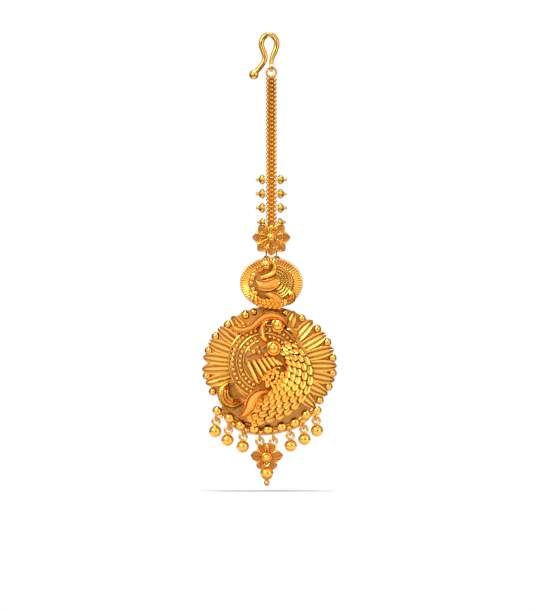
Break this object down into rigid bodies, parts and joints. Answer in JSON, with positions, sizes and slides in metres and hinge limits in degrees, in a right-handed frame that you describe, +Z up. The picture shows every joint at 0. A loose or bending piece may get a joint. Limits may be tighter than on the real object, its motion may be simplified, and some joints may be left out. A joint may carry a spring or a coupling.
{
  "type": "forehead pendant jewel",
  "caption": "Gold forehead jewel: hook and flat woven chain with a flower, then a small oval and a large round sunburst pendant with peacock relief, bead fringe and flower drop.",
  "frame": {"origin": "inner top of the hook's bend, where it rests on the hair or a pin, on the chain's centreline", "axes": "+Z up the chain towards the hook, -Y out of the ornamented front, +Y towards the forehead, +X to the viewer's right"},
  "size_m": [0.035, 0.0061, 0.1178],
  "materials": {
    "polished_gold": "polished high-carat gold",
    "relief_gold": "gold with bright rims and matte stippled fields"
  },
  "bodies": {
    "head_piece": {"hook": "polished_gold", "chain": "polished_gold", "spike_bead_left_1": "polished_gold", "spike_bead_left_2": "polished_gold", "spike_bead_left_3": "polished_gold", "spike_bead_left_4": "polished_gold", "spike_bead_right_1": "polished_gold", "spike_bead_right_2": "polished_gold", "spike_bead_right_3": "polished_gold", "spike_bead_right_4": "polished_gold", "flower_rosette": "relief_gold"},
    "small_pendant": {"small_medallion": "relief_gold", "small_peacock": "relief_gold"},
    "main_pendant": {"main_medallion": "relief_gold", "main_peacock": "relief_gold", "drop_1": "polished_gold", "drop_2": "polished_gold", "drop_3": "polished_gold", "drop_4": "polished_gold", "drop_5": "polished_gold", "drop_6": "polished_gold", "flower_drop": "relief_gold"}
  },
  "joints": [
    {"name": "small_pendant_swing", "type": "hinge", "parent": "head_piece", "child": "small_pendant", "pos_m": [0, 0, -0.05705], "axis": [1, 0, 0], "range_deg": [-5, 60]},
    {"name": "main_pendant_swing", "type": "hinge", "parent": "small_pendant", "child": "main_pendant", "pos_m": [0, 0, -0.07085], "axis": [1, 0, 0], "range_deg": [-5, 60]}
  ]
}
